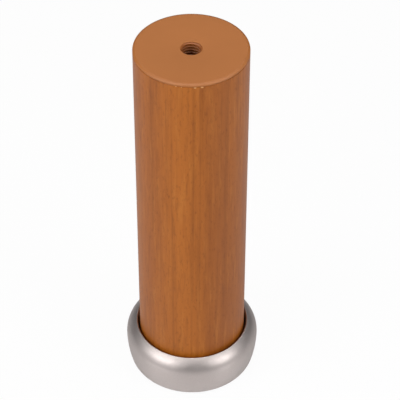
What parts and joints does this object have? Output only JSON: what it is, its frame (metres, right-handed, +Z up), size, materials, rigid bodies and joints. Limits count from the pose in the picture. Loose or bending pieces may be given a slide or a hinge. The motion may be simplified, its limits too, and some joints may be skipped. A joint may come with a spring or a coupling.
{
  "type": "cylindrical furniture leg",
  "caption": "Round wood-decor furniture leg with a threaded plug on top and a rounded satin metal foot that screws up and down to level the furniture.",
  "frame": {"origin": "on the floor, at the centre of the foot's underside, with the foot screwed right in", "axes": "+Z up along the leg's axis, from the floor to the mounting face; the part is round, so +X is along one web of the plugs"},
  "size_m": [0.0628, 0.0628, 0.185],
  "materials": {
    "wood_decor_foil": "satin wood-grain foil",
    "plug_plastic": "fine moulded",
    "satin_nickel": "satin",
    "zinc_plated_steel": "zinc plated",
    "glide_plastic": "moulded"
  },
  "bodies": {
    "foot": {"foot_cup": "satin_nickel", "levelling_bolt": "zinc_plated_steel", "glide_pad": "glide_plastic"},
    "leg": {"leg_tube": "wood_decor_foil", "top_plug": "plug_plastic", "bottom_plug": "plug_plastic"}
  },
  "joints": [
    {"name": "foot_screw", "type": "slide", "parent": "foot", "child": "leg", "axis": [0, 0, 1], "range_m": [0, 0.012]}
  ]
}
